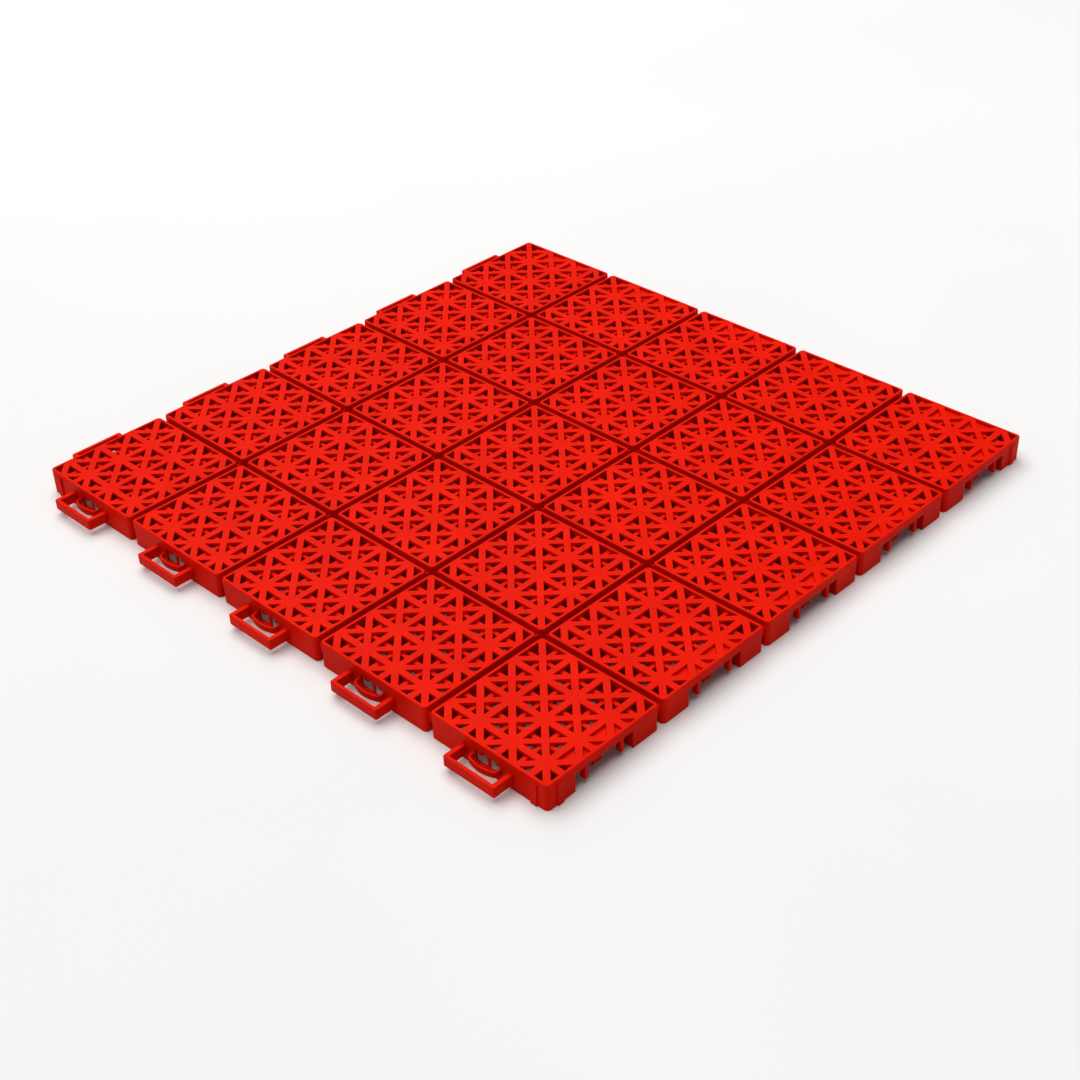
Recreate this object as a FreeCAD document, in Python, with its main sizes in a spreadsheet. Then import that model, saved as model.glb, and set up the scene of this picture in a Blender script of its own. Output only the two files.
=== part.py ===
import FreeCAD, Part
import Sketcher
import math
import os
import re

# Interlocking open-grid floor tile: 5 by 5 rigid grid squares in one moulding, joined across
# narrow gaps by thin webs that bend. Two sides carry loops, the other two carry sockets that
# take the loops of the next tile. Millimetres, +Z up, underside at Z = 0.
# Rows run from r1 on the +Y side to r5 on the -Y side, columns from c1 (-X) to c5 (+X).
# Loops stand out of the -X and +Y sides, sockets open in the -Y and +X sides.

ROWS = range(1, 6)
COLUMNS = range(1, 6)
MIDDLE = 3
UP = FreeCAD.Vector(0, 0, 1)
HALF_ROOT_TWO = math.sqrt(0.5)

doc = FreeCAD.newDocument("InterlockingGridTile")


# ------------------------------------------------------------------ driving dimensions

DRIVING = [
    ("tile_pitch", 330, "spacing of whole tiles when locked together"),
    ("squares_per_side", 5, "grid squares along one side"),
    ("gap", 2.8, "gap between neighbouring squares"),
    ("tile_height", 12.7, "overall height"),
    ("wall", 1.5, "thickness of a square's skirt wall"),
    ("corner_radius", 2.0, "radius of a square's vertical corners"),
    ("cells_across", 3.5, "lattice cells across a square"),
    ("diagonal_reach", 6, "length of a diagonal rib in cells, before it is clipped"),
    ("lattice_depth", 1.5, "depth of the top lattice"),
    ("straight_rib", 3.4, "width of the straight lattice ribs"),
    ("diagonal_rib", 3.2, "width of the diagonal lattice ribs"),
    ("under_rib", 2.0, "width of the ribs under the lattice"),
    ("under_depth", 5.0, "depth of the ribs under the lattice"),
    ("foot_radius", 2.2, "radius of the round feet"),
    ("corner_rib_offset", 5.2, "from a tile corner to its spacer rib"),
    ("corner_rib_width", 3.3, "width of a spacer rib"),
    ("corner_rib_proud", 0.7, "how far a spacer rib stands out"),
    ("corner_rib_height", 10.2, "height of a spacer rib below its chamfer"),
    ("corner_rib_chamfer", 0.8, "height of the chamfer on a spacer rib"),
    ("loop_width", 27.6, "outer width of a loop"),
    ("loop_reach", 10.3, "how far a loop stands out of the wall"),
    ("loop_bar", 1.8, "thickness of a loop's outer bar"),
    ("loop_arm", 2.3, "thickness of a loop's arms"),
    ("loop_radius", 0.8, "radius of a loop's outer corners"),
    ("loop_base", 2.8, "height of a loop above the floor"),
    ("loop_height", 5.1, "height of a loop's bar"),
    ("bow_half_width", 7.6, "half width of the bow spring"),
    ("bow_reach", 4.8, "how far the bow spring stands out"),
    ("bow_sagitta", 1.8, "rise of the bow spring's arc"),
    ("bow_strip", 0.9, "thickness of the bow spring"),
    ("bow_base", 4.0, "height of the bow spring above the floor"),
    ("bow_height", 2.9, "height of the bow spring's strip"),
    ("window_width", 13.0, "width of the opening behind a bow"),
    ("window_base", 2.6, "height of the opening's lower edge"),
    ("window_height", 5.8, "height of the opening behind a bow"),
    ("window_post", 1.8, "width of the post in that opening"),
    ("post_setback", 0.8, "depth of the post behind the wall's face"),
    ("socket_width", 32.6, "width of a socket's mouth"),
    ("socket_height", 8.6, "height of a socket's mouth"),
    ("roof_width", 35.0, "width of a socket's roof plate"),
    ("roof_depth", 9.4, "depth of a socket's roof plate"),
    ("roof_thickness", 1.0, "thickness of a socket's roof plate"),
    ("cheek_thickness", 1.2, "thickness of a socket's side walls"),
    ("peg_inner", 9.1, "from a socket's middle to its pegs"),
    ("peg_width", 1.8, "width of a socket peg"),
    ("peg_depth", 2.8, "depth of a socket peg, behind the wall's face"),
    ("peg_base", 2.4, "height of a peg's end above the floor"),
    ("latch_width", 5.0, "width of the latch tongue"),
    ("latch_front", 3.8, "from the wall's face to the latch tongue"),
    ("latch_depth", 1.0, "thickness of the latch tongue"),
    ("latch_base", 1.6, "height of the tongue's end above the floor"),
    ("barb_depth", 0.6, "how far the tongue's barb stands out"),
    ("barb_height", 1.0, "height of the tongue's barb"),
    ("web_inset", 2.0, "from a square's corner to its web"),
    ("web_thickness", 1.2, "thickness of a web"),
    ("web_top", 3.2, "depth of a web's top below the surface"),
    ("web_height", 5.0, "height of a web"),
    ("web_clearance", 0.35, "relief between a web and the wall it bends at"),
]

DERIVED = [
    ("pitch", "tile_pitch / squares_per_side", "spacing of the squares"),
    ("side", "tile_pitch / squares_per_side - gap", "side of a square"),
    ("rim", "(tile_pitch / squares_per_side - gap - wall) / 2", "centre of a square to its rim line"),
    ("cell", "(tile_pitch / squares_per_side - gap - wall) / cells_across", "lattice cell"),
    ("lattice_base", "tile_height - lattice_depth", "height of the lattice's underside"),
    ("array_shift", "(loop_reach - corner_rib_proud) / 2", "frame origin to the array's centre"),
    ("bow_radius", "(bow_half_width ^ 2 + bow_sagitta ^ 2) / (2 * bow_sagitta)", "bow's radius"),
]

sheet = doc.addObject("Spreadsheet::Sheet", "Sizes")
for number, (alias, value, meaning) in enumerate(DRIVING, start=1):
    sheet.set("A%d" % number, meaning)
    sheet.set("B%d" % number, str(value))
    sheet.setAlias("B%d" % number, alias)
for number, (alias, formula, meaning) in enumerate(DERIVED, start=len(DRIVING) + 2):
    sheet.set("A%d" % number, meaning)
    sheet.set("B%d" % number, "=" + formula)
    sheet.setAlias("B%d" % number, alias)
doc.recompute()

ALIASES = [row[0] for row in DRIVING + DERIVED]
ALIAS_WORD = re.compile(r"\b(" + "|".join(ALIASES) + r")\b")


def bind(target, **formulas):
    """Bind properties to the sheet. A formula names the sheet's aliases directly."""
    paths = {"x": "Placement.Base.x", "y": "Placement.Base.y", "z": "Placement.Base.z"}
    for name, formula in formulas.items():
        text = ALIAS_WORD.sub(r"Sizes.\1", str(formula))
        target.setExpression(paths.get(name, name), text)
    return target


# ------------------------------------------------------------------ building blocks

def block(name, turn=0, **formulas):
    """A box. Its low corner and its Length, Width and Height are formulas."""
    solid = doc.addObject("Part::Box", name)
    solid.Placement.Rotation = FreeCAD.Rotation(UP, turn)
    return bind(solid, **formulas)


def fused(name, pieces, turn=0):
    """One solid out of several pieces, turned about the square's centre line."""
    fusion = doc.addObject("Part::MultiFuse", name)
    fusion.Shapes = pieces
    fusion.Refine = True
    fusion.Placement.Rotation = FreeCAD.Rotation(UP, turn)
    return fusion


def cut(name, base, tool):
    result = doc.addObject("Part::Cut", name)
    result.Base = base
    result.Tool = tool
    return result


def group(name, pieces, turn=0):
    """Several pieces kept as they are, turned about the square's centre line."""
    compound = doc.addObject("Part::Compound", name)
    compound.Links = pieces
    compound.Placement.Rotation = FreeCAD.Rotation(UP, turn)
    return compound


def rectangle(body, name, length, width):
    """A sketch on the body's XY plane: a rectangle centred on X that starts at Y = 0."""
    sketch = body.newObject("Sketcher::SketchObject", name)
    plane = next(item for item in body.Origin.OriginFeatures if item.Role == "XY_Plane")
    sketch.AttachmentSupport = (plane, [""])
    sketch.MapMode = "FlatFace"
    corners = [FreeCAD.Vector(x, y, 0) for x, y in ((-9, 0), (9, 0), (9, 9), (-9, 9))]
    for start, end in zip(corners, corners[1:] + corners[:1]):
        sketch.addGeometry(Part.LineSegment(start, end))
    for line in range(4):
        sketch.addConstraint(Sketcher.Constraint("Coincident", line, 2, (line + 1) % 4, 1))
    for line, direction in enumerate(("Horizontal", "Vertical", "Horizontal", "Vertical")):
        sketch.addConstraint(Sketcher.Constraint(direction, line))
    sketch.addConstraint(Sketcher.Constraint("Symmetric", 0, 1, 0, 2, -1, 1))
    sketch.addConstraint(Sketcher.Constraint("DistanceX", 0, 1, 0, 2, 18))
    sketch.renameConstraint(9, "length")
    sketch.addConstraint(Sketcher.Constraint("DistanceY", 1, 1, 1, 2, 9))
    sketch.renameConstraint(10, "width")
    bind(sketch, **{"Constraints.length": length, "Constraints.width": width})
    return sketch


def upright_edges(shape, keep):
    """Names of the vertical edges whose middle passes the test."""
    names = []
    for index, edge in enumerate(shape.Edges, start=1):
        box = edge.BoundBox
        if box.ZLength > 0 and box.XLength + box.YLength < 1e-6 and keep(box.Center):
            names.append("Edge%d" % index)
    return names


def ring_body(name, outer, inner, height, radius, keep):
    """A rectangular ring: a pad with rounded uprights and a pocket through it."""
    body = doc.addObject("PartDesign::Body", name)
    pad = body.newObject("PartDesign::Pad", name + "_pad")
    pad.Profile = rectangle(body, name + "_outline", *outer)
    bind(pad, Length=height)
    doc.recompute()
    rounding = body.newObject("PartDesign::Fillet", name + "_rounding")
    rounding.Base = (pad, upright_edges(pad.Shape, keep))
    bind(rounding, Radius=radius)
    pocket = body.newObject("PartDesign::Pocket", name + "_pocket")
    pocket.Profile = rectangle(body, name + "_opening", *inner[:2])
    bind(pocket.Profile[0], **{"AttachmentOffset.Base.y": inner[2]})
    pocket.Type = "ThroughAll"
    pocket.Reversed = True
    doc.recompute()
    return body


# ------------------------------------------------------------------ lattice and feet

def diagonal(name, turn, step):
    """A diagonal rib, as many cells from the square's centre as step says."""
    offset = "(%s * cell * %.6f - diagonal_rib / 2)" % (step, HALF_ROOT_TWO)
    along = "(-diagonal_reach * cell / 2)"
    across = math.copysign(1, turn)
    return block(name, turn, z="lattice_base", Length="diagonal_reach * cell",
                 Width="diagonal_rib", Height="lattice_depth",
                 x="%.6f * (%s - %d * %s)" % (HALF_ROOT_TWO, along, across, offset),
                 y="%.6f * (%d * %s + %s)" % (HALF_ROOT_TWO, across, along, offset))


def lattice():
    """Straight ribs on the node lines and both diagonals of every cell, clipped to the rim."""
    low = "lattice_base"
    ribs = []
    for line in range(1, 4):
        place = "rim - %d * cell - straight_rib / 2" % line
        ribs.append(block("rib_x_%d" % line, x=place, y="-rim", z=low, Length="straight_rib",
                          Width="2 * rim", Height="lattice_depth"))
        ribs.append(block("rib_y_%d" % line, x="-rim", y=place, z=low, Length="2 * rim",
                          Width="straight_rib", Height="lattice_depth"))
    ribs += [diagonal("rising_%d" % (step + 4), 45, step) for step in range(-3, 4)]
    ribs += [diagonal("falling_%d" % (step + 4), -45, step + 0.5) for step in range(-3, 3)]
    clip = block("lattice_clip", x="-rim", y="-rim", z=low, Length="2 * rim",
                 Width="2 * rim", Height="lattice_depth")
    top = doc.addObject("Part::Common", "lattice")
    top.Base = fused("lattice_ribs", ribs)
    top.Tool = clip
    return top


def under_ribs():
    """Thin ribs under the node lines and half way between them, both ways."""
    ribs = []
    for line in range(1, 7):
        place = "rim - %d * cell / 2 - under_rib / 2" % line
        ribs.append(block("under_x_%d" % line, x=place, y="-rim", z="lattice_base - under_depth",
                          Length="under_rib", Width="2 * rim", Height="under_depth"))
        ribs.append(block("under_y_%d" % line, x="-rim", y=place, z="lattice_base - under_depth",
                          Length="2 * rim", Width="under_rib", Height="under_depth"))
    return ribs


def foot(column, row):
    """A round foot under the lattice node of that column and row, down to the floor."""
    post = doc.addObject("Part::Cylinder", "foot_%d_%d" % (column, row))
    return bind(post, x="rim - %d * cell" % column, y="rim - %d * cell" % row,
                Radius="foot_radius", Height="lattice_base")


# ------------------------------------------------------------------ loop side of a square

def bow_window(name, turn):
    """Opening in the -Y wall behind a bow spring, with a set-back post left in its middle."""
    opening = block(name + "_opening", x="-window_width / 2", y="-side / 2 - wall / 2",
                    z="window_base", Length="window_width", Width="2 * wall", Height="window_height")
    post = block(name + "_post", x="-window_post / 2", y="-side / 2 + post_setback",
                 z="window_base", Length="window_post", Width="2 * wall", Height="window_height")
    tool = cut(name, opening, post)
    tool.Placement.Rotation = FreeCAD.Rotation(UP, turn)
    return tool


def bow_spring():
    """A thin strip: two short legs out of the wall at Y = 0, bridged by a shallow arc."""
    reach_back = "bow_reach - bow_radius"
    outer = doc.addObject("Part::Cylinder", "bow_outer")
    bind(outer, y=reach_back, z="bow_base", Radius="bow_radius", Height="bow_height")
    inner = doc.addObject("Part::Cylinder", "bow_inner")
    bind(inner, y=reach_back, z="bow_base", Radius="bow_radius - bow_strip", Height="bow_height")
    arc = doc.addObject("Part::Common", "bow_arc")
    arc.Base = cut("bow_tube", outer, inner)
    arc.Tool = block("bow_clip", x="-bow_half_width", y="0", z="bow_base",
                     Length="2 * bow_half_width", Width="2 * bow_reach", Height="bow_height")
    leg_length = "bow_reach - bow_sagitta - bow_strip / 2"
    legs = [block("bow_leg_" + name, x=place, y="0", z="bow_base", Length="bow_strip",
                  Width=leg_length, Height="bow_height")
            for name, place in (("low", "-bow_half_width"), ("high", "bow_half_width - bow_strip"))]
    return fused("bow_spring", [arc] + legs)


def loop_frame():
    """The rigid U of a loop: an outer bar on two arms that start at the wall, Y = 0."""
    frame = ring_body("loop_frame", ("loop_width", "loop_reach"),
                      ("loop_width - 2 * loop_arm", "loop_reach - loop_bar + wall", "-wall"),
                      "loop_height", "loop_radius", lambda point: point.y > 1)
    return bind(frame, z="loop_base")


# ------------------------------------------------------------------ socket side of a square

def socket_mouth(name, turn):
    """Opening in the -Y wall that lets the loop of the next tile in from below."""
    mouth = block(name + "_opening", x="-socket_width / 2", y="-side / 2 - wall / 2", z="-wall",
                  Length="socket_width", Width="2 * wall", Height="socket_height + wall")
    return group(name, [mouth], turn)


def socket_bay(name, turn):
    """Room for a loop under the roof plate, which the ribs stop short of."""
    bay = block(name + "_room", x="-socket_width / 2", y="-side / 2 + wall / 2", z="-wall",
                Length="socket_width", Width="roof_depth - wall / 2",
                Height="lattice_base - roof_thickness + wall")
    return group(name, [bay], turn)


def socket_fittings(name, turn):
    """Roof plate, side walls, two pegs and a barbed latch tongue in the -Y wall's mouth."""
    face = "-side / 2"
    top = "lattice_base - roof_thickness / 2"
    roof = block(name + "_roof", x="-roof_width / 2", y=face + " + wall / 2",
                 z="lattice_base - roof_thickness", Length="roof_width",
                 Width="roof_depth - wall / 2", Height="roof_thickness")
    cheeks = [block(name + "_cheek_" + end, x=place, y=face + " + wall / 2", z="0",
                    Length="cheek_thickness", Width="roof_depth - wall / 2", Height=top)
              for end, place in (("low", "-socket_width / 2 - cheek_thickness"),
                                 ("high", "socket_width / 2"))]
    pegs = [block(name + "_peg_" + end, x=place, y=face, z="peg_base",
                  Length="peg_width", Width="peg_depth", Height=top + " - peg_base")
            for end, place in (("low", "-peg_inner - peg_width"), ("high", "peg_inner"))]
    tongue = block(name + "_tongue", x="-latch_width / 2", y=face + " + latch_front",
                   z="latch_base", Length="latch_width", Width="latch_depth",
                   Height=top + " - latch_base")
    barb = block(name + "_barb", x="-latch_width / 2", y=face + " + latch_front + latch_depth",
                 z="latch_base", Length="latch_width", Width="barb_depth", Height="barb_height")
    return fused(name, [roof, tongue, barb] + cheeks + pegs, turn)


# ------------------------------------------------------------------ outer corners of the tile

def spacer_rib(name, mirror, turn):
    """An upright rib on the -Y wall near its -X end, or mirrored to its +X end."""
    start = "side / 2 - corner_rib_offset - corner_rib_width" if mirror else \
        "-side / 2 + corner_rib_offset"
    shaft = block(name + "_shaft", x=start, y="-side / 2 - corner_rib_proud", z="0",
                  Length="corner_rib_width", Width="corner_rib_proud + wall / 2",
                  Height="corner_rib_height")
    slope = doc.addObject("Part::Wedge", name + "_slope")
    slope.Placement.Rotation = FreeCAD.Rotation(FreeCAD.Vector(1, 0, 0), 90)
    bind(slope, x=start, y="-side / 2 + wall / 2", z="corner_rib_height",
         Xmin=0, Xmax="corner_rib_width", X2min=0, X2max="corner_rib_width",
         Ymin=0, Ymax="corner_rib_chamfer", Zmin=0, Zmax="corner_rib_proud + wall / 2",
         Z2min=0, Z2max="wall / 2")
    return fused(name, [shaft, slope], turn)


# ------------------------------------------------------------------ the 25 squares

SIDE_TURN = {"south": 0, "east": 90, "north": 180, "west": -90}

skirt = ring_body("skirt", ("side", "side"), ("side - 2 * wall", "side - 2 * wall", "wall"),
                  "tile_height", "corner_radius", lambda point: True)
bind(skirt, y="-side / 2")
top_lattice = lattice()
ribs_below = under_ribs()
clear_feet = [foot(column, row) for column in range(1, 4) for row in range(1, 4)
              if not (row == 3 and column < 3)]
socket_feet = [foot(column, 3) for column in (1, 2)]
grid = fused("grid", [top_lattice] + ribs_below + clear_feet)
windows = {side: bow_window("window_" + side, SIDE_TURN[side]) for side in ("north", "west")}
mouths = {side: socket_mouth("mouth_" + side, SIDE_TURN[side]) for side in ("south", "east")}
bays = {side: socket_bay("bay_" + side, SIDE_TURN[side]) for side in ("south", "east")}
fittings = {side: socket_fittings("fittings_" + side, SIDE_TURN[side])
            for side in ("south", "east")}
spacers = {(side, high): spacer_rib("spacer_%s_%d" % (side, high), high, SIDE_TURN[side])
           for side in SIDE_TURN for high in (False, True)}


def outer_sides(row, column):
    """The sides of a square that lie on the outside of the tile."""
    return [side for side, outside in (("south", row == 5), ("east", column == 5),
                                       ("north", row == 1), ("west", column == 1)) if outside]


def place_square(node, row, column):
    return bind(node, x="array_shift + %d * pitch" % (column - MIDDLE),
                y="%d * pitch - array_shift" % (MIDDLE - row))


def square(row, column):
    """One grid square: lattice, under ribs and feet in a skirt, open where it couples."""
    sides = outer_sides(row, column)
    walls, ribs = skirt, grid
    for side in sides:
        tag = "r%dc%d_%s" % (row, column, side)
        walls = cut("walls_" + tag, walls, windows[side] if side in windows else mouths[side])
        if side in bays:
            ribs = cut("ribs_" + tag, ribs, bays[side])
    pieces = [walls, ribs] + [fittings[side] for side in sides if side in fittings]
    if "south" not in sides:
        pieces += socket_feet
    if len(sides) == 2:
        pieces += [spacers[ends] for ends in CORNER_SPACERS[frozenset(sides)]]
    node = fused("square_r%dc%d" % (row, column), pieces)
    return place_square(node, row, column)


# Each wall is drawn as the -Y wall and turned, so its high end is the end that the turn
# brings to the tile's corner.
CORNER_SPACERS = {
    frozenset(("south", "east")): (("south", True), ("east", False)),
    frozenset(("east", "north")): (("east", True), ("north", False)),
    frozenset(("north", "west")): (("north", True), ("west", False)),
    frozenset(("west", "south")): (("west", True), ("south", False)),
}

nodes = [square(row, column) for row in ROWS for column in COLUMNS]


# ------------------------------------------------------------------ webs and loops

def web_pair(name, turn):
    """Two webs across the gap on the -Y side of a square, short of the wall they reach."""
    pair = [block(name + "_" + end, x=place, y="-side / 2 - gap + web_clearance",
                  z="tile_height - web_top - web_height", Length="web_thickness",
                  Width="gap - web_clearance", Height="web_height")
            for end, place in (("low", "-side / 2 + web_inset"),
                               ("high", "side / 2 - web_inset - web_thickness"))]
    return group(name, pair, turn)


web_pairs = {side: web_pair("webs_" + side, SIDE_TURN[side]) for side in SIDE_TURN}


def webs(row, column):
    """The webs that join a square to its neighbour one step nearer the middle square."""
    if column != MIDDLE:
        side = "west" if column > MIDDLE else "east"
    else:
        side = "north" if row > MIDDLE else "south"
    return place_square(group("web_r%dc%d" % (row, column), [web_pairs[side]]), row, column)


frame, bow = loop_frame(), bow_spring()


def loop(name, turn, x, y):
    """A loop with its bow spring, standing out of an outer wall of the tile."""
    return bind(group(name, [frame, bow], turn), x=x, y=y)


edge_line = "(%d * pitch + side / 2)" % (MIDDLE - 1)
nodes += [webs(row, column) for row in ROWS for column in COLUMNS
          if (row, column) != (MIDDLE, MIDDLE)]
nodes += [loop("loop_west_r%d" % row, 90, "array_shift - " + edge_line,
               "%d * pitch - array_shift" % (MIDDLE - row)) for row in ROWS]
nodes += [loop("loop_north_c%d" % column, 0, "array_shift + %d * pitch" % (column - MIDDLE),
               edge_line + " - array_shift") for column in COLUMNS]


# ------------------------------------------------------------------ checks and files

doc.recompute()
for item in doc.Objects:
    if "Invalid" in item.State or "Error" in item.State:
        raise RuntimeError("%s did not build: %s" % (item.Name, item.State))
os.makedirs("parts", exist_ok=True)
for node in nodes:
    if node.Shape.isNull() or not node.Shape.isValid():
        raise RuntimeError(node.Label + " has no valid shape")
    node.Shape.exportStep(os.path.join("parts", node.Label + ".step"))
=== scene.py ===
import math
import bmesh
import bpy
from mathutils import Matrix, Vector


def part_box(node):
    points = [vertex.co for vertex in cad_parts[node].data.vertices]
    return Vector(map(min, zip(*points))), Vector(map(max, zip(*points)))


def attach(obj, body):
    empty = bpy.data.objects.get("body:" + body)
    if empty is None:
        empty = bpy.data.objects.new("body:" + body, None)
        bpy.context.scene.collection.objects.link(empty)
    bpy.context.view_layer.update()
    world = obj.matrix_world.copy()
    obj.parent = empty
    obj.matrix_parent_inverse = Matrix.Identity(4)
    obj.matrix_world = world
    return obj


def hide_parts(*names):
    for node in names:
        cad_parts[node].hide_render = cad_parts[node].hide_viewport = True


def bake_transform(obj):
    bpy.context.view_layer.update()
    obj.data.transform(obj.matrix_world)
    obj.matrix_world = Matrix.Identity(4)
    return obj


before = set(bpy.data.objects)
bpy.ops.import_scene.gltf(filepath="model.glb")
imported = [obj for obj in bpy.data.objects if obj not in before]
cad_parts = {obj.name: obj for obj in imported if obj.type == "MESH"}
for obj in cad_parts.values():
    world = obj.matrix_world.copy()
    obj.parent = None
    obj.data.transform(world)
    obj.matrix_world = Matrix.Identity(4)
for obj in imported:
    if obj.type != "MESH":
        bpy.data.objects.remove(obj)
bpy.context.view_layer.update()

# Looks of an interlocking open-grid floor tile in moulded red plastic: 25 lattice squares,
# webs that bend in the gaps, loops with bow springs on two sides. Metres, +Z up.
# Squares are named square_rRcC, R from 1 (+Y) to 5 (-Y), C from 1 (-X) to 5 (+X).

MM = 0.001
ROWS = range(1, 6)
COLUMNS = range(1, 6)
MIDDLE = 3


def square_name(row, column):
    return "square_r%dc%d" % (row, column)


# ------------------------------------------------------------------ sizes read from the frame

def centre_of(node):
    low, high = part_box(node)
    return (low + high) / 2


MIDDLE_LOW, MIDDLE_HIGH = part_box(square_name(MIDDLE, MIDDLE))
ARRAY_CENTRE = (MIDDLE_LOW + MIDDLE_HIGH) / 2
SIDE = MIDDLE_HIGH.x - MIDDLE_LOW.x
TOP = MIDDLE_HIGH.z
PITCH = centre_of(square_name(MIDDLE, MIDDLE + 1)).x - ARRAY_CENTRE.x
GAP = PITCH - SIDE

# A square's wall, and the distance from its centre to the middle line of the wall.
WALL = 1.5 * MM
RIM = (SIDE - WALL) / 2
# The lattice is three and a half cells across, counted from the +X, +Y rim.
CELLS_ACROSS = 3.5
CELL = 2 * RIM / CELLS_ACROSS


def square_centre(row, column):
    return ARRAY_CENTRE + Vector(((column - MIDDLE) * PITCH, (MIDDLE - row) * PITCH, 0))


# ------------------------------------------------------------------ materials

class Nodes:
    """Short names for building a node tree."""

    def __init__(self, name):
        self.material = bpy.data.materials.new(name)
        self.material.use_nodes = True
        self.tree = self.material.node_tree
        self.shader = self.tree.nodes["Principled BSDF"]

    def add(self, kind, **settings):
        node = self.tree.nodes.new(kind)
        for name, value in settings.items():
            setattr(node, name, value)
        return node

    def link(self, source, target):
        self.tree.links.new(source, target)

    def noise(self, coordinates, scale, detail=3.0, roughness=0.5):
        node = self.add("ShaderNodeTexNoise")
        node.inputs["Scale"].default_value = scale
        node.inputs["Detail"].default_value = detail
        node.inputs["Roughness"].default_value = roughness
        self.link(coordinates, node.inputs["Vector"])
        return node.outputs["Fac"]

    def remap(self, value, low, high, to_low, to_high):
        node = self.add("ShaderNodeMapRange")
        node.inputs["From Min"].default_value = low
        node.inputs["From Max"].default_value = high
        node.inputs["To Min"].default_value = to_low
        node.inputs["To Max"].default_value = to_high
        self.link(value, node.inputs["Value"])
        return node.outputs["Result"]

    def math(self, operation, first, second):
        """The first value is a link; the second is a link or a number."""
        node = self.add("ShaderNodeMath", operation=operation)
        self.link(first, node.inputs[0])
        if isinstance(second, float):
            node.inputs[1].default_value = second
        else:
            self.link(second, node.inputs[1])
        return node.outputs[0]

    def vector_math(self, operation, first, second=None):
        node = self.add("ShaderNodeVectorMath", operation=operation)
        self.link(first, node.inputs[0])
        if second is not None:
            node.inputs[1].default_value = second
        return node

    def mix(self, factor, first, second):
        """Mix two colours, each a link or an RGB tuple. The numbers are the places of the
        colour sockets, which share their names with the node's other kinds of socket."""
        node = self.add("ShaderNodeMix", data_type="RGBA")
        self.link(factor, node.inputs["Factor"])
        for socket, value in ((node.inputs[6], first), (node.inputs[7], second)):
            if isinstance(value, tuple):
                socket.default_value = value + (1.0,)
            else:
                self.link(value, socket)
        return node.outputs[2]


RED = (0.65, 0.0130, 0.0008)
RED_DEEP = (0.585, 0.0100, 0.0008)
RED_SCUFFED = (0.65, 0.0260, 0.0130)
PAPER_GREY = (0.66, 0.66, 0.655)
PAPER_WHITE = (0.68, 0.68, 0.675)

# Sink marks, in cells from the crossing.
SINK_CORE, SINK_REACH = 0.05, 0.21
SINK_DEPTH = 0.42
SCUFF_STRETCH = (1.0, 0.16, 1.0)
SCUFF_TURN = 0.6
SCUFF_MOST = 0.35
SCUFF_ROUGHNESS = 0.3
ROUGHNESS_LEAST, ROUGHNESS_MOST = 0.36, 0.48
PAPER_ROUGHNESS = 0.9
GRAIN_SHARE = 0.25
BUMP_STRENGTH = 0.22
BUMP_DEPTH = 0.06 * MM
POLYPROPYLENE_IOR = 1.49
PLASTIC_SPECULAR = 0.05
PAPER_SPECULAR = 0.1


def sink_marks(made):
    """0 to 1, high in a small round patch at each crossing of the lattice's ribs."""
    cells = made.add("ShaderNodeUVMap", uv_map="cells").outputs["UV"]
    within_cell = made.vector_math("FRACTION", cells).outputs[0]
    from_crossing = made.vector_math("SUBTRACT", within_cell, (0.5, 0.5, 0)).outputs[0]
    distance = made.vector_math("LENGTH", from_crossing).outputs["Value"]
    return made.remap(distance, SINK_CORE, SINK_REACH, SINK_DEPTH, 0)


def scuffs(made, place):
    """0 to SCUFF_MOST, in thin streaks that all run one way."""
    streaks = made.add("ShaderNodeMapping")
    streaks.inputs["Scale"].default_value = SCUFF_STRETCH
    streaks.inputs["Rotation"].default_value = (0, 0, SCUFF_TURN)
    made.link(place, streaks.inputs["Vector"])
    speckle = made.noise(streaks.outputs["Vector"], 900, 2, 0.6)
    return made.remap(speckle, 0.66, 0.78, 0, SCUFF_MOST)


def red_plastic():
    """Satin moulded polypropylene: flow shading, sink marks at the rib crossings, fine
    moulded texture and light scuffs."""
    made = Nodes("red_plastic")
    place = made.add("ShaderNodeTexCoord").outputs["Object"]
    flow = made.remap(made.noise(place, 55, 4, 0.55), 0.35, 0.68, 0, 1)
    colour = made.mix(flow, RED_DEEP, RED)
    patches = made.remap(made.noise(place, 90), 0.3, 0.6, 0, 1)
    colour = made.mix(made.math("MULTIPLY", sink_marks(made), patches), colour, RED_DEEP)
    scuff = scuffs(made, place)
    colour = made.mix(scuff, colour, RED_SCUFFED)
    made.link(colour, made.shader.inputs["Base Color"])
    gloss = made.remap(made.noise(place, 160, 3), 0.3, 0.7, ROUGHNESS_LEAST, ROUGHNESS_MOST)
    gloss = made.math("ADD", gloss, made.math("MULTIPLY", scuff, SCUFF_ROUGHNESS))
    made.link(gloss, made.shader.inputs["Roughness"])
    grain = made.math("MULTIPLY", made.noise(place, 5200, 2, 0.6), GRAIN_SHARE)
    waviness = made.noise(place, 240, 2, 0.5)
    bump = made.add("ShaderNodeBump")
    bump.inputs["Strength"].default_value = BUMP_STRENGTH
    bump.inputs["Distance"].default_value = BUMP_DEPTH
    made.link(made.math("ADD", grain, waviness), bump.inputs["Height"])
    made.link(bump.outputs["Normal"], made.shader.inputs["Normal"])
    made.shader.inputs["IOR"].default_value = POLYPROPYLENE_IOR
    made.shader.inputs["Specular IOR Level"].default_value = PLASTIC_SPECULAR
    return made.material


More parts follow.
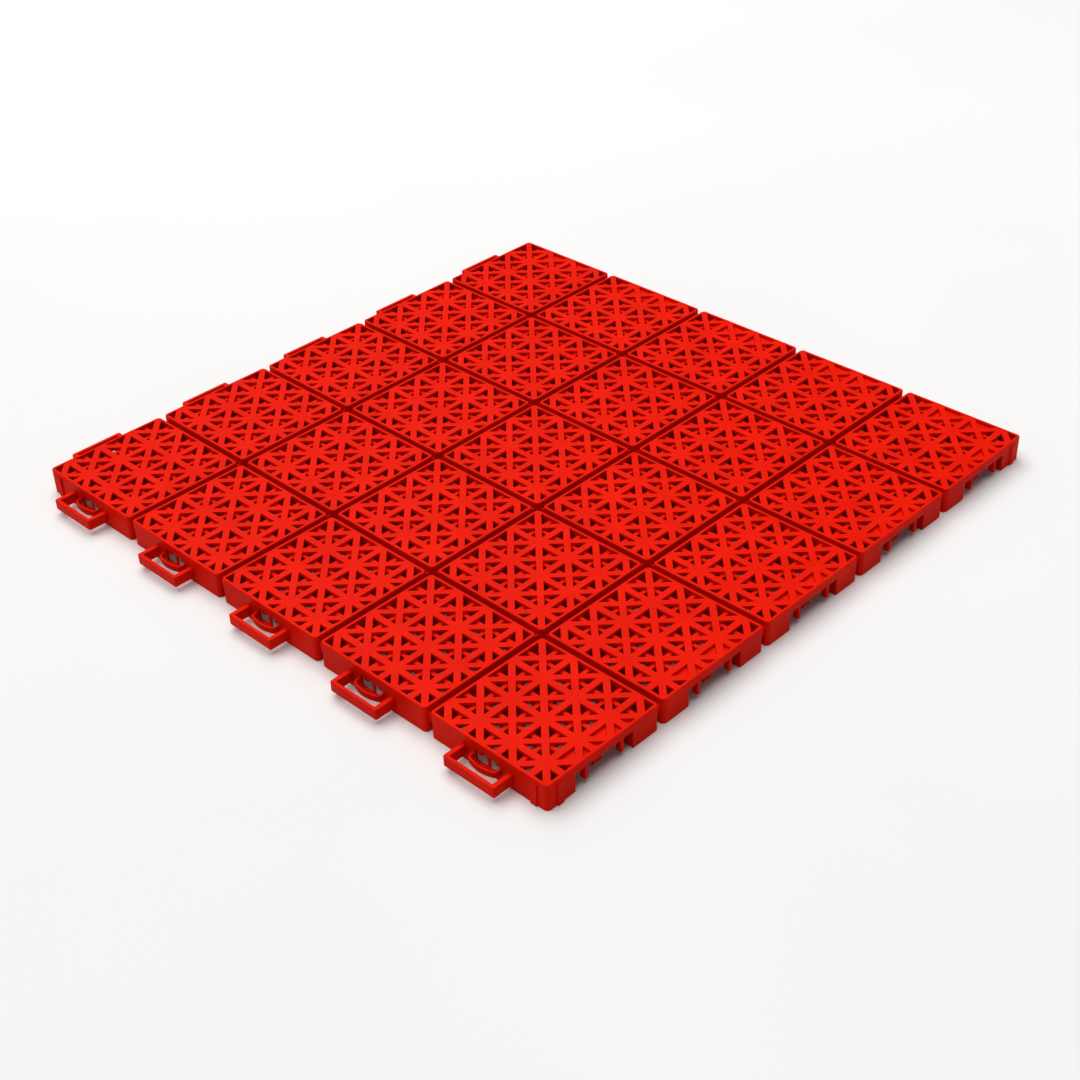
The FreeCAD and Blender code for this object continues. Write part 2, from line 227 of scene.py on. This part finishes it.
def floor_paper():
    """Matt white studio paper."""
    made = Nodes("floor_paper")
    place = made.add("ShaderNodeTexCoord").outputs["Object"]
    tone = made.remap(made.noise(place, 3), 0.3, 0.7, 0, 1)
    made.link(made.mix(tone, PAPER_GREY, PAPER_WHITE), made.shader.inputs["Base Color"])
    made.shader.inputs["Roughness"].default_value = PAPER_ROUGHNESS
    made.shader.inputs["Specular IOR Level"].default_value = PAPER_SPECULAR
    return made.material


PLASTIC = red_plastic()


# ------------------------------------------------------------------ mesh helpers

def red_piece(name, mesh):
    """A finished piece that takes the record's red plastic."""
    mesh.materials.append(PLASTIC)
    piece = bpy.data.objects.new(name, mesh)
    bpy.context.scene.collection.objects.link(piece)
    return piece


def riding_piece(name, mesh, body):
    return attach(red_piece(name, mesh), body)


SHARP = math.radians(35)
CREASE = math.radians(50)
SAME_POINT = 2e-6
SAME_PLANE = math.radians(0.5)


def soften(mesh_data, width, segments, chosen):
    """Round the convex edges that the test picks out."""
    edges = [edge for edge in mesh_data.edges
             if edge.is_manifold and edge.is_convex
             and edge.calc_face_angle() > SHARP and chosen(edge)]
    bmesh.ops.bevel(mesh_data, geom=edges, offset=width, segments=segments, profile=0.5,
                    affect="EDGES", clamp_overlap=False)


def finish_mesh(name, mesh_data, cell_origin=None):
    """Turn a bmesh into a mesh with smooth faces, sharp creases, and a UV map that counts
    lattice cells from the given origin, so that the crossings are at its half numbers."""
    for face in mesh_data.faces:
        face.smooth = True
    for edge in mesh_data.edges:
        edge.smooth = edge.is_manifold and edge.calc_face_angle() < CREASE
    layer = mesh_data.loops.layers.uv.new("cells")
    origin = cell_origin or Vector((0, 0, 0))
    for face in mesh_data.faces:
        for corner in face.loops:
            offset = (corner.vert.co - origin) / CELL
            corner[layer].uv = (offset.x + 0.5, offset.y + 0.5)
    mesh = bpy.data.meshes.new(name)
    mesh_data.to_mesh(mesh)
    mesh_data.free()
    return mesh


def weight_normals(piece):
    """Flat faces stay flat and only the rounded edges catch the light."""
    modifier = piece.modifiers.new("normals", "WEIGHTED_NORMAL")
    modifier.keep_sharp = True


def clean_copy(node):
    """The node's mesh with its split corners joined and its flat faces whole again."""
    copy = bmesh.new()
    copy.from_mesh(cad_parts[node].data)
    bmesh.ops.remove_doubles(copy, verts=copy.verts, dist=SAME_POINT)
    bmesh.ops.dissolve_limit(copy, angle_limit=SAME_PLANE, verts=copy.verts,
                             edges=copy.edges, use_dissolve_boundaries=False)
    return copy


def island_at(mesh_data, test):
    """Every vertex joined to one that passes the test."""
    found = set()
    waiting = [v for v in mesh_data.verts if test(v)]
    while waiting:
        vertex = waiting.pop()
        if vertex not in found:
            found.add(vertex)
            waiting += [edge.other_vert(vertex) for edge in vertex.link_edges]
    return list(found)


# ------------------------------------------------------------------ the 25 squares

RIM_ROUNDING = 0.45 * MM
RIB_ROUNDING = 0.22 * MM
CORNER_RADIUS = 2.0 * MM
TOP_TOLERANCE = 0.01 * MM
OUTLINE_TOLERANCE = 0.05 * MM


def from_outline(point, centre):
    """How far a point lies outside a square's outline, whose corners are round."""
    straight = SIDE / 2 - CORNER_RADIUS
    dx, dy = abs(point.x - centre.x), abs(point.y - centre.y)
    if min(dx, dy) > straight:
        return math.hypot(dx - straight, dy - straight) - CORNER_RADIUS
    return max(dx, dy) - SIDE / 2


def grid_square(row, column):
    """The CAD square with its outer top edges well rounded and its ribs slightly."""
    node = square_name(row, column)
    centre = square_centre(row, column)
    copy = clean_copy(node)

    def on_outer_top(edge):
        return all(v.co.z > TOP - TOP_TOLERANCE
                   and from_outline(v.co, centre) > -OUTLINE_TOLERANCE for v in edge.verts)

    soften(copy, RIM_ROUNDING, 3, on_outer_top)
    soften(copy, RIB_ROUNDING, 2, lambda edge: True)
    first_node = centre + Vector((RIM, RIM, 0))
    piece = riding_piece(node + "_moulding", finish_mesh(node, copy, first_node), node)
    weight_normals(piece)
    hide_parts(node)


for row in ROWS:
    for column in COLUMNS:
        grid_square(row, column)


# ------------------------------------------------------------------ loops and bow springs

LOOP_ROUNDING = 0.35 * MM
BOW_HALF_WIDTH = 7.6 * MM
BOW_REACH = 4.8 * MM
BOW_SAGITTA = 1.8 * MM
BOW_STRIP = 0.9 * MM
BOW_BASE = 4.0 * MM
BOW_HEIGHT = 2.9 * MM
SHOULDER = 1.0 * MM
SHOULDER_SLACK = 0.2
SHOULDER_STEPS = 8
ARC_STEPS = 12
BOW_ROUNDING = 0.28 * MM
# The foot of the strip goes from inside the wall to where its shoulder starts.
FOOT_PLACES = (-0.3 * MM, 0.4 * MM, 1.0 * MM)
BASE_TOLERANCE = 0.1 * MM


def bow_path():
    """The middle line of the strip seen from above, from one foot at the wall to the other:
    a straight foot, a curved shoulder and a flat arc, then the same again mirrored."""
    half = BOW_HALF_WIDTH - BOW_STRIP / 2
    radius = (BOW_HALF_WIDTH ** 2 + BOW_SAGITTA ** 2) / (2 * BOW_SAGITTA) - BOW_STRIP / 2
    middle = BOW_REACH - BOW_STRIP / 2 - radius
    shoulder_x = half - SHOULDER
    arc_end = math.asin(shoulder_x / radius)
    points = [Vector((half, place)) for place in FOOT_PLACES]
    start = points[-1]
    join = Vector((radius * math.sin(arc_end), middle + radius * math.cos(arc_end)))
    corner = Vector((half, join.y - (half - join.x) * math.tan(arc_end) * SHOULDER_SLACK))
    for step in range(1, SHOULDER_STEPS):
        t = step / SHOULDER_STEPS
        points.append(start * (1 - t) ** 2 + corner * 2 * t * (1 - t) + join * t ** 2)
    left = [Vector((-point.x, point.y)) for point in reversed(points)]
    for step in range(2 * ARC_STEPS + 1):
        angle = arc_end * (1 - step / ARC_STEPS)
        points.append(Vector((radius * math.sin(angle), middle + radius * math.cos(angle))))
    return points + left


def strip_section():
    """A rounded rectangle: BOW_STRIP across and BOW_HEIGHT tall."""
    wide, high = BOW_STRIP / 2 - BOW_ROUNDING, BOW_HEIGHT / 2 - BOW_ROUNDING
    corners = []
    for sx, sz, start in ((1, 1, 0), (-1, 1, 90), (-1, -1, 180), (1, -1, 270)):
        for turned in (0, 30, 60, 90):
            angle = math.radians(start + turned)
            corners.append((sx * wide + BOW_ROUNDING * math.cos(angle),
                            sz * high + BOW_ROUNDING * math.sin(angle)))
    return corners


def skin(mesh_data, rings):
    """Close a tube of faces around a row of vertex rings, with a face at each end."""
    for ring, following in zip(rings, rings[1:]):
        for index in range(len(ring)):
            after = (index + 1) % len(ring)
            mesh_data.faces.new((ring[index], ring[after], following[after], following[index]))
    mesh_data.faces.new(list(reversed(rings[0])))
    mesh_data.faces.new(rings[-1])
    bmesh.ops.recalc_face_normals(mesh_data, faces=mesh_data.faces)


def sweep(path, section, height):
    """A closed strip that follows a level path, with the section square to it."""
    strip = bmesh.new()
    rings = []
    for index, point in enumerate(path):
        before = path[max(index - 1, 0)]
        after = path[min(index + 1, len(path) - 1)]
        along = (after - before).normalized()
        across = Vector((along.y, -along.x))
        rings.append([strip.verts.new((point.x + across.x * w, point.y + across.y * w,
                                       height + h)) for w, h in section])
    skin(strip, rings)
    return strip


def loop_with_bow(node, body, foot, turn):
    """The loop's frame with rounded edges, and its bow as one smooth bent strip."""
    copy = clean_copy(node)
    rough_bow = island_at(copy, lambda v: abs(v.co.z - BOW_BASE) < BASE_TOLERANCE)
    bmesh.ops.delete(copy, geom=rough_bow, context="VERTS")
    soften(copy, LOOP_ROUNDING, 3, lambda edge: True)
    piece = riding_piece(node + "_frame", finish_mesh(node, copy), body)
    weight_normals(piece)
    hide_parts(node)
    strip = sweep(bow_path(), strip_section(), BOW_BASE + BOW_HEIGHT / 2)
    strip.transform(Matrix.Translation(foot) @ Matrix.Rotation(turn, 4, "Z"))
    riding_piece(node + "_bow", finish_mesh(node + "_bow", strip), body)


for row in ROWS:
    centre = square_centre(row, 1)
    loop_with_bow("loop_west_r%d" % row, square_name(row, 1),
                  Vector((centre.x - SIDE / 2, centre.y, 0)), math.radians(90))
for column in COLUMNS:
    centre = square_centre(1, column)
    loop_with_bow("loop_north_c%d" % column, square_name(1, column),
                  Vector((centre.x, centre.y + SIDE / 2, 0)), 0)


# ------------------------------------------------------------------ webs in the gaps

WEB_THICKNESS = 1.2 * MM
WEB_WAIST = 0.85 * MM
WEB_TOP = TOP - 3.2 * MM
WEB_HEIGHT = 5.0 * MM
WEB_INSET = 2.0 * MM
WEB_ROUNDING = 0.2 * MM
WEB_SECTIONS = 9
# How far each web reaches into the walls, how far apart the two halves of a split web are,
# and how far their tips are cut back at top and bottom so that they clear in a fold.
WEB_ROOT = 0.25 * MM
WEB_SPLIT = 0.04 * MM
WEB_NOTCH = 0.14 * MM


def web_outline(width):
    """The cross-section as (across, up) points: an upright rectangle with cut corners and a
    point at mid height on each side, where a half web's tip is not cut back."""
    half, high = width / 2, WEB_HEIGHT / 2
    quarter = ((half, 0), (half, high - WEB_ROUNDING), (half - WEB_ROUNDING, high))
    return (quarter + tuple((-w, h) for w, h in reversed(quarter))
            + tuple((-w, -h) for w, h in quarter[1:])
            + tuple((w, -h) for w, h in reversed(quarter[1:])))


def web_mesh(name, start, end, tip=0):
    """A thin upright web along a line between two walls, waisted where it bends. A half web
    has its tip at the end (1) or the start (-1), cut back above and below its middle."""
    web = bmesh.new()
    along = end - start
    across = Vector((-along.y, along.x, 0)).normalized()
    middle = {0: (start + end) / 2, 1: end, -1: start}[tip]
    rings = []
    for index in range(WEB_SECTIONS):
        point = start + along * index / (WEB_SECTIONS - 1)
        away = min((point - middle).length / (GAP / 2), 1)
        notch = WEB_NOTCH * tip if tip and point == middle else 0
        ring = []
        for w, h in web_outline(WEB_WAIST + (WEB_THICKNESS - WEB_WAIST) * away ** 2):
            cut_back = along.normalized() * notch * abs(h) / (WEB_HEIGHT / 2)
            ring.append(web.verts.new(point - cut_back + across * w + Vector((0, 0, h))))
        rings.append(ring)
    skin(web, rings)
    return finish_mesh(name, web)


def web_lines(first, second):
    """For two neighbouring squares, the line of each of their two webs, from wall to wall."""
    one, two = square_centre(*first), square_centre(*second)
    towards = (two - one).normalized()
    sideways = Vector((-towards.y, towards.x, 0))
    level = Vector((0, 0, WEB_TOP - WEB_HEIGHT / 2 - one.z))
    for sign in (-1, 1):
        offset = sideways * sign * (SIDE / 2 - WEB_INSET - WEB_THICKNESS / 2) + level
        yield one + towards * SIDE / 2 + offset, two - towards * SIDE / 2 + offset


def parent_square(row, column):
    """The neighbour that a square hangs on in the tree of joints."""
    if column != MIDDLE:
        return row, column + (1 if column < MIDDLE else -1)
    return row + (1 if row < MIDDLE else -1), column


def bending_webs(row, column):
    """The webs across a gap that has a hinge, as whole pieces fixed in place and attached to
    neither of the two squares.
    """
    parent = parent_square(row, column)
    node = "web_r%dc%d" % (row, column)
    for index, (start, end) in enumerate(web_lines((row, column), parent)):
        along = (end - start).normalized()
        name = "%s_web_%d" % (node, index + 1)
        mesh = web_mesh(name, start - along * WEB_ROOT, end + along * WEB_ROOT)
        piece = red_piece(name, mesh)
        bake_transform(piece)
        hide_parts(node)


def half_webs(first, second):
    """The webs across a gap with no hinge of its own: each half stays with its square."""
    for index, (start, end) in enumerate(web_lines(first, second)):
        along = (end - start).normalized()
        middle = (start + end) / 2
        halves = ((first, start - along * WEB_ROOT, middle - along * WEB_SPLIT / 2, 1),
                  (second, middle + along * WEB_SPLIT / 2, end + along * WEB_ROOT, -1))
        for square, near, far, tip in halves:
            name = "half_web_r%dc%d_r%dc%d_%d" % (first + square + (index + 1,))
            riding_piece(name, web_mesh(name, near, far, tip), square_name(*square))


for row in ROWS:
    for column in COLUMNS:
        if (row, column) != (MIDDLE, MIDDLE):
            bending_webs(row, column)
for row in ROWS[:-1]:
    for column in COLUMNS:
        if column != MIDDLE:
            half_webs((row, column), (row + 1, column))


# ------------------------------------------------------------------ marks of the moulding

GATE_RADIUS = 0.55 * MM
GATE_HEIGHT = 0.10 * MM


def gate_mark(row, column, step_x, step_y):
    """A low nub where the plastic entered, at a lattice node counted from the +X, +Y rim."""
    nub = bmesh.new()
    bmesh.ops.create_uvsphere(nub, u_segments=20, v_segments=10, radius=GATE_RADIUS)
    nub.transform(Matrix.Diagonal((1, 1, GATE_HEIGHT / GATE_RADIUS, 1)))
    place = square_centre(row, column) + Vector((RIM - step_x * CELL, RIM - step_y * CELL, 0))
    nub.transform(Matrix.Translation((place.x, place.y, TOP)))
    name = "gate_mark_r%dc%d" % (row, column)
    riding_piece(name, finish_mesh(name, nub), square_name(row, column))


gate_mark(2, 2, step_x=2, step_y=1)
gate_mark(4, 2, step_x=2, step_y=2)
gate_mark(4, 4, step_x=1, step_y=2)


# ------------------------------------------------------------------ floor, light and camera

FLOOR_REACH = 30


def studio_floor():
    sheet = bmesh.new()
    bmesh.ops.create_grid(sheet, x_segments=1, y_segments=1, size=FLOOR_REACH)
    mesh = bpy.data.meshes.new("studio_floor")
    sheet.to_mesh(mesh)
    sheet.free()
    mesh.materials.append(floor_paper())
    floor = bpy.data.objects.new("studio_floor", mesh)
    bpy.context.scene.collection.objects.link(floor)


def direction(azimuth, elevation):
    """Towards a place in the sky, in degrees: azimuth from -Y towards +X."""
    a, e = math.radians(azimuth), math.radians(elevation)
    return Vector((math.sin(a) * math.cos(e), -math.cos(a) * math.cos(e), math.sin(e)))


def place_lamp(lamp, azimuth, elevation, distance=1):
    """Stand a lamp in the sky and turn it to the middle of the tile."""
    light = bpy.data.objects.new(lamp.name, lamp)
    back = direction(azimuth, elevation)
    light.location = ARRAY_CENTRE + back * distance
    light.rotation_euler = back.to_track_quat("Z", "Y").to_euler()
    bpy.context.scene.collection.objects.link(light)


def soft_sun(name, azimuth, elevation, spread, strength):
    """Even light from a wide round patch of sky."""
    lamp = bpy.data.lights.new(name, "SUN")
    lamp.angle = math.radians(spread)
    lamp.energy = strength
    place_lamp(lamp, azimuth, elevation)


def back_panel(name, azimuth, elevation, distance, width, power):
    """A round soft panel behind the tile, which lifts its far squares a little."""
    lamp = bpy.data.lights.new(name, "AREA")
    lamp.shape = "DISK"
    lamp.size = width
    lamp.energy = power
    place_lamp(lamp, azimuth, elevation, distance)


# Worked out from the corners of the 25 squares in the photo.
CAMERA_AZIMUTH = -45.01
CAMERA_ELEVATION = 35.04
CAMERA_ROLL = -1.94
CAMERA_DISTANCE = 11.592 * PITCH
CAMERA_TARGET = Vector((ARRAY_CENTRE.x - 0.777 * PITCH, ARRAY_CENTRE.y - 0.789 * PITCH, TOP))
SENSOR = 36.0
CAMERA_LENS = 57.73
CLIP_START = 0.01


def camera():
    data = bpy.data.cameras.new("camera")
    data.sensor_width = SENSOR
    data.lens = CAMERA_LENS
    data.clip_start = CLIP_START
    back = direction(CAMERA_AZIMUTH, CAMERA_ELEVATION)
    level = Vector((0, 0, 1)).cross(back).normalized()
    upright = back.cross(level)
    roll = math.radians(CAMERA_ROLL)
    right = level * math.cos(roll) + upright * math.sin(roll)
    up = upright * math.cos(roll) - level * math.sin(roll)
    turn = Matrix((right, up, back)).transposed().to_4x4()
    eye = bpy.data.objects.new("camera", data)
    eye.matrix_world = Matrix.Translation(CAMERA_TARGET + back * CAMERA_DISTANCE) @ turn
    bpy.context.scene.collection.objects.link(eye)
    bpy.context.scene.camera = eye


def room_light(strength):
    world = bpy.data.worlds.new("room")
    world.use_nodes = True
    background = world.node_tree.nodes["Background"]
    background.inputs["Color"].default_value = (1, 1, 1, 1)
    background.inputs["Strength"].default_value = strength
    bpy.context.scene.world = world


studio_floor()
soft_sun("key", azimuth=-170, elevation=77, spread=70, strength=2.67)
back_panel("panel", azimuth=150, elevation=48, distance=1.3, width=0.9, power=2.5)
room_light(strength=0.26)
camera()
bpy.context.scene.view_settings.view_transform = "Standard"
bpy.context.scene.view_settings.look = "Medium High Contrast"
